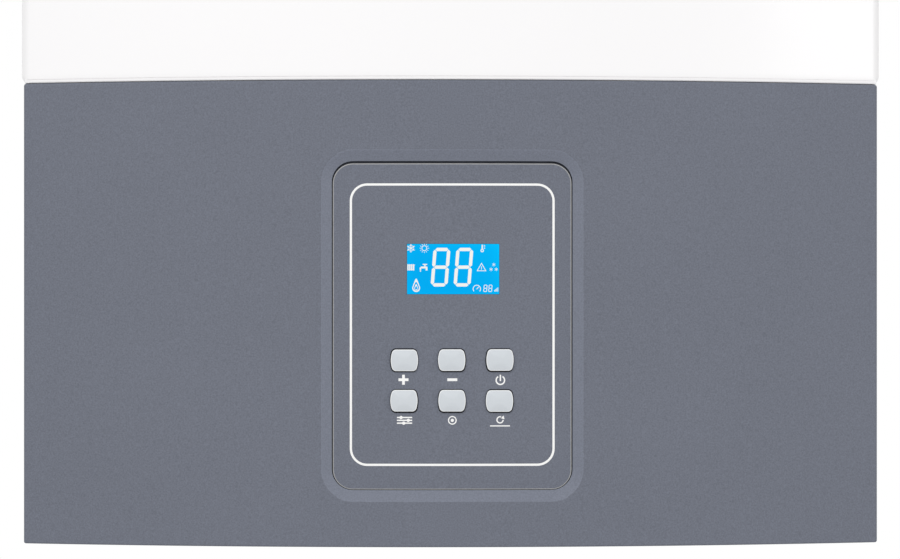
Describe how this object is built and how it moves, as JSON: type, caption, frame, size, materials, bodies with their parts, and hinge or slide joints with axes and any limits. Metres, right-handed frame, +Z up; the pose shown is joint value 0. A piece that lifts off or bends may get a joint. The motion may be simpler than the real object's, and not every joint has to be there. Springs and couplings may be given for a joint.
{
  "type": "wall-mounted gas boiler",
  "caption": "Wall-hung combination gas boiler with a white casing, a bowed grey control fascia, a flue collar on top and pipe unions below.",
  "frame": {"origin": "the middle of the wall bracket's back face, on the wall", "axes": "+X to the right of someone facing the boiler, +Y into the wall, +Z up; the front faces -Y"},
  "size_m": [0.4, 0.3, 0.765],
  "materials": {
    "white_enamel": "semi-gloss white powder coat",
    "grey_fascia": "fine-grained matt blue-grey moulding",
    "button_grey": "satin light grey moulding",
    "display_blue": "blue backlit display window",
    "galvanised": "galvanised sheet",
    "aluminised": "aluminised sheet",
    "aluminium": "cast or drawn aluminium",
    "copper": "drawn copper",
    "brass": "cast and turned brass",
    "steel": "stainless or plated steel",
    "black_plastic": "black moulding",
    "grey_plastic": "grey moulding",
    "board_green": "green solder mask",
    "vessel_red": "red stove enamel",
    "knob_red": "red moulding",
    "knob_blue": "blue moulding",
    "silicone": "red silicone cord",
    "fibre": "pressed ceramic fibre board",
    "ceramic": "white unglazed ceramic",
    "glass": "clear toughened glass"
  },
  "bodies": {
    "casing": {"wall_bracket": "galvanised", "rear_frame": "galvanised", "bottom_plate": "galvanised", "left_side_panel": "white_enamel", "right_side_panel": "white_enamel", "top_panel": "white_enamel", "flue_collar": "white_enamel", "left_hinge_pin": "steel", "right_hinge_pin": "steel", "chamber_shell": "aluminised", "chamber_seal": "silicone", "chamber_cover": "aluminised", "sight_glass": "glass", "combustion_box": "aluminised", "fire_insulation": "fibre", "ignition_electrode": "ceramic", "flame_sensor": "ceramic", "burner": "steel", "burner_manifold": "brass", "heat_exchanger": "copper", "flue_hood": "aluminised", "fan_housing": "aluminium", "fan_motor": "steel", "flue_elbow": "aluminium", "flue_inner_pipe": "aluminium", "air_pressure_switch": "grey_plastic", "expansion_vessel": "vessel_red", "vessel_hose": "steel", "flow_manifold": "brass", "return_manifold": "brass", "plate_heat_exchanger": "steel", "diverter_actuator": "black_plastic", "pump_body": "brass", "pump_motor": "grey_plastic", "air_vent": "brass", "gas_valve": "aluminium", "gas_pipe": "aluminium", "flow_pipe": "copper", "return_pipe": "copper", "cable_gland": "black_plastic"},
    "cover": {"front_cover": "white_enamel"},
    "control_box": {"control_fascia": "grey_fascia", "control_panel": "grey_fascia", "display_lens": "display_blue", "display_board": "board_green", "control_box_tray": "black_plastic", "control_box_lid": "black_plastic", "main_board": "board_green"},
    "power_button": {"button_power": "button_grey"},
    "minus_button": {"button_minus": "button_grey"},
    "plus_button": {"button_plus": "button_grey"},
    "reset_button": {"button_reset": "button_grey"},
    "info_button": {"button_info": "button_grey"},
    "mode_button": {"button_mode": "button_grey"},
    "fan": {"fan_wheel": "aluminium"},
    "impeller": {"pump_impeller": "grey_plastic"},
    "safety_knob": {"safety_valve_knob": "knob_red"},
    "filling_knob": {"filling_tap_knob": "knob_blue"}
  },
  "joints": [
    {"name": "control_box_hinge", "type": "hinge", "parent": "casing", "child": "control_box", "pos_m": [0, -0.234, -0.651], "axis": [1, 0, 0], "range_deg": [0, 90]},
    {"name": "front_cover_slide", "type": "slide", "parent": "casing", "child": "cover", "axis": [0, -0.9659, 0.2588], "range_m": [0, 0.3]},
    {"name": "power_button_slide", "type": "slide", "parent": "control_box", "child": "power_button", "axis": [0, 1, 0], "range_m": [0, 0.0012], "stiffness_N_per_m": 800},
    {"name": "minus_button_slide", "type": "slide", "parent": "control_box", "child": "minus_button", "axis": [0, 1, 0], "range_m": [0, 0.0012], "stiffness_N_per_m": 800},
    {"name": "plus_button_slide", "type": "slide", "parent": "control_box", "child": "plus_button", "axis": [0, 1, 0], "range_m": [0, 0.0012], "stiffness_N_per_m": 800},
    {"name": "reset_button_slide", "type": "slide", "parent": "control_box", "child": "reset_button", "axis": [0, 1, 0], "range_m": [0, 0.0012], "stiffness_N_per_m": 800},
    {"name": "info_button_slide", "type": "slide", "parent": "control_box", "child": "info_button", "axis": [0, 1, 0], "range_m": [0, 0.0012], "stiffness_N_per_m": 800},
    {"name": "mode_button_slide", "type": "slide", "parent": "control_box", "child": "mode_button", "axis": [0, 1, 0], "range_m": [0, 0.0012], "stiffness_N_per_m": 800},
    {"name": "fan_spin", "type": "hinge", "parent": "casing", "child": "fan", "pos_m": [-0.095, -0.185, -0.05], "axis": [0, 0, 1], "continuous": true},
    {"name": "impeller_spin", "type": "hinge", "parent": "casing", "child": "impeller", "pos_m": [0.115, -0.107, -0.524], "axis": [0, 1, 0], "continuous": true},
    {"name": "safety_knob_turn", "type": "hinge", "parent": "casing", "child": "safety_knob", "pos_m": [0.142, -0.138, -0.6072], "axis": [0, 1, 0], "range_deg": [0, 90]},
    {"name": "filling_knob_turn", "type": "hinge", "parent": "casing", "child": "filling_knob", "pos_m": [0.0975, -0.085, -0.66], "axis": [0, 0, 1], "range_deg": [0, 270]}
  ]
}
